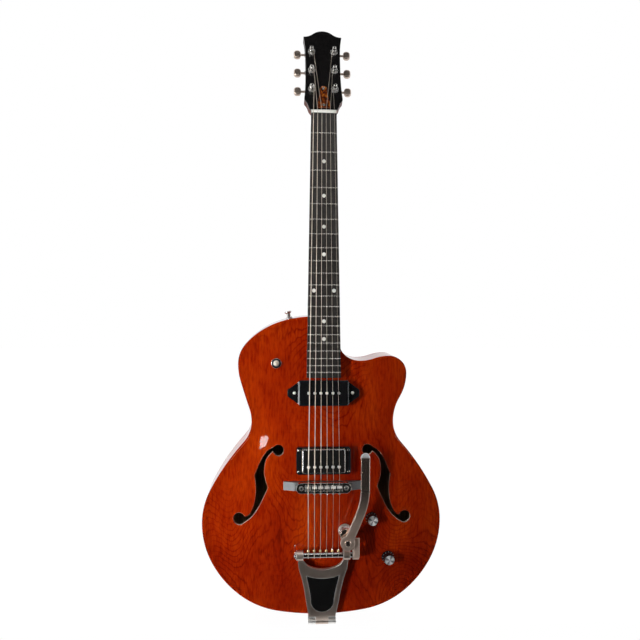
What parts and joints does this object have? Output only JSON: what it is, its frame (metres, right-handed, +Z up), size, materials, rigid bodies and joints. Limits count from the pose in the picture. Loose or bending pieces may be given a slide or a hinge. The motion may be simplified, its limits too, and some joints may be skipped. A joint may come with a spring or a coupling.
{
  "type": "archtop guitar",
  "caption": "Hollow archtop electric guitar with arched plates, f-holes, one cutaway, pickups, floating bridge and a sprung vibrato tailpiece with a swivel arm.",
  "frame": {"origin": "where the tail strap pin's axis enters the tail end, half way through the body's depth", "axes": "+Z up the neck, front facing -Y, +X the treble side with the cutaway"},
  "size_m": [0.4093, 0.1397, 1.0319],
  "materials": {
    "lacquered_wood": "gloss",
    "neck_wood": "satin",
    "inner_wood": "raw",
    "binding": "gloss",
    "board_wood": "satin",
    "black_gloss": "gloss",
    "fret_metal": "polished",
    "marker": "gloss",
    "nut_white": "satin",
    "cover_shell": "gloss",
    "steel": "plain",
    "string_steel": "plain",
    "nickel": "polished",
    "satin_alloy": "satin",
    "bearing_plastic": "satin",
    "black_plastic": "satin",
    "bridge_metal": "satin",
    "coil": "plain",
    "pot_metal": "plain",
    "tip_cream": "gloss"
  },
  "bodies": {
    "body": {"strings": "string_steel", "fingerboard": "board_wood", "position_markers": "marker", "frets": "fret_metal", "nut": "nut_white", "tuner_housings": "nickel", "tuner_bushings": "nickel", "truss_rod_cover": "cover_shell", "bridge_base": "bridge_metal", "bridge_posts": "steel", "bridge_body": "bridge_metal", "bridge_saddles": "nickel", "neck_pickup_core": "coil", "bridge_pickup_cover": "nickel", "bridge_pickup_core": "coil", "neck_pickup_cover": "black_plastic", "bridge_pickup_ring": "black_plastic", "pickup_poles": "steel", "vibrato_frame": "satin_alloy", "vibrato_panel": "black_gloss", "vibrato_bearings": "bearing_plastic", "vibrato_hinge": "satin_alloy", "vibrato_spring": "steel", "control_pots": "pot_metal", "selector_switch": "nickel", "output_jack": "nickel", "strap_pins": "nickel", "top_plate": "lacquered_wood", "back_plate": "lacquered_wood", "binding": "binding", "bass_side": "lacquered_wood", "treble_side": "lacquered_wood", "end_blocks": "inner_wood", "linings": "inner_wood", "tone_bars": "inner_wood", "neck": "neck_wood", "truss_rod": "steel", "headstock_veneer": "black_gloss", "wood_screws": "steel"},
    "vibrato_bar": {"vibrato_bar": "satin_alloy", "string_ends": "string_steel", "vibrato_bracket": "satin_alloy"},
    "vibrato_arm": {"vibrato_arm": "satin_alloy"},
    "volume_knob": {"volume_knob": "black_plastic", "volume_knob_cap": "satin_alloy"},
    "tone_knob": {"tone_knob": "black_plastic", "tone_knob_cap": "satin_alloy"},
    "selector_lever": {"selector_lever": "tip_cream"},
    "tuner_key_1": {"tuner_key_1": "nickel"},
    "tuner_post_1": {"tuner_post_1": "nickel"},
    "tuner_key_2": {"tuner_key_2": "nickel"},
    "tuner_post_2": {"tuner_post_2": "nickel"},
    "tuner_key_3": {"tuner_key_3": "nickel"},
    "tuner_post_3": {"tuner_post_3": "nickel"},
    "tuner_key_4": {"tuner_key_4": "nickel"},
    "tuner_post_4": {"tuner_post_4": "nickel"},
    "tuner_key_5": {"tuner_key_5": "nickel"},
    "tuner_post_5": {"tuner_post_5": "nickel"},
    "tuner_key_6": {"tuner_key_6": "nickel"},
    "tuner_post_6": {"tuner_post_6": "nickel"}
  },
  "joints": [
    {"name": "vibrato_rock", "type": "hinge", "parent": "body", "child": "vibrato_bar", "pos_m": [0, -0.066, 0.1107], "axis": [-1, 0, 0], "range_deg": [-5, 6], "stiffness_Nm_per_rad": 30, "deforming": ["vibrato_spring"]},
    {"name": "arm_swivel", "type": "hinge", "parent": "vibrato_bar", "child": "vibrato_arm", "pos_m": [0.039, -0.0765, 0.1362], "axis": [0, 1, 0], "range_deg": [-8, 95]},
    {"name": "key_turn_1", "type": "hinge", "parent": "body", "child": "tuner_key_1", "pos_m": [-0.02, 0.01561, 0.90289], "axis": [1, 0, 0], "continuous": true},
    {"name": "post_turn_1", "type": "hinge", "parent": "body", "child": "tuner_post_1", "pos_m": [-0.02, -0.00555, 0.90079], "axis": [0, -0.9516, 0.3074], "continuous": true},
    {"name": "key_turn_2", "type": "hinge", "parent": "body", "child": "tuner_key_2", "pos_m": [-0.02, 0.02745, 0.93953], "axis": [1, 0, 0], "continuous": true},
    {"name": "post_turn_2", "type": "hinge", "parent": "body", "child": "tuner_post_2", "pos_m": [-0.02, 0.00628, 0.93743], "axis": [0, -0.9516, 0.3074], "continuous": true},
    {"name": "key_turn_3", "type": "hinge", "parent": "body", "child": "tuner_key_3", "pos_m": [-0.02, 0.03928, 0.97616], "axis": [1, 0, 0], "continuous": true},
    {"name": "post_turn_3", "type": "hinge", "parent": "body", "child": "tuner_post_3", "pos_m": [-0.02, 0.01811, 0.97407], "axis": [0, -0.9516, 0.3074], "continuous": true},
    {"name": "key_turn_4", "type": "hinge", "parent": "body", "child": "tuner_key_4", "pos_m": [0.02, 0.03928, 0.97616], "axis": [1, 0, 0], "continuous": true},
    {"name": "post_turn_4", "type": "hinge", "parent": "body", "child": "tuner_post_4", "pos_m": [0.02, 0.01811, 0.97407], "axis": [0, -0.9516, 0.3074], "continuous": true},
    {"name": "key_turn_5", "type": "hinge", "parent": "body", "child": "tuner_key_5", "pos_m": [0.02, 0.02745, 0.93953], "axis": [1, 0, 0], "continuous": true},
    {"name": "post_turn_5", "type": "hinge", "parent": "body", "child": "tuner_post_5", "pos_m": [0.02, 0.00628, 0.93743], "axis": [0, -0.9516, 0.3074], "continuous": true},
    {"name": "key_turn_6", "type": "hinge", "parent": "body", "child": "tuner_key_6", "pos_m": [0.02, 0.01561, 0.90289], "axis": [1, 0, 0], "continuous": true},
    {"name": "post_turn_6", "type": "hinge", "parent": "body", "child": "tuner_post_6", "pos_m": [0.02, -0.00555, 0.90079], "axis": [0, -0.9516, 0.3074], "continuous": true},
    {"name": "volume_turn", "type": "hinge", "parent": "body", "child": "volume_knob", "pos_m": [0.0821, -0.05141, 0.1662], "axis": [0.0634, -0.9979, -0.0099], "range_deg": [-140, 140]},
    {"name": "tone_turn", "type": "hinge", "parent": "body", "child": "tone_knob", "pos_m": [0.111, -0.04542, 0.0987], "axis": [0.111, -0.9891, -0.0968], "range_deg": [-140, 140]},
    {"name": "selector_tilt", "type": "hinge", "parent": "body", "child": "selector_lever", "pos_m": [-0.07905, -0.03708, 0.42679], "axis": [0.9981, -0.0622, 0.0033], "range_deg": [-13, 13]}
  ],
  "couplings": [
    {"joint": "post_turn_1", "follows": "key_turn_1", "ratio": 0.0625},
    {"joint": "post_turn_2", "follows": "key_turn_2", "ratio": 0.0625},
    {"joint": "post_turn_3", "follows": "key_turn_3", "ratio": 0.0625},
    {"joint": "post_turn_4", "follows": "key_turn_4", "ratio": 0.0625},
    {"joint": "post_turn_5", "follows": "key_turn_5", "ratio": 0.0625},
    {"joint": "post_turn_6", "follows": "key_turn_6", "ratio": 0.0625}
  ]
}
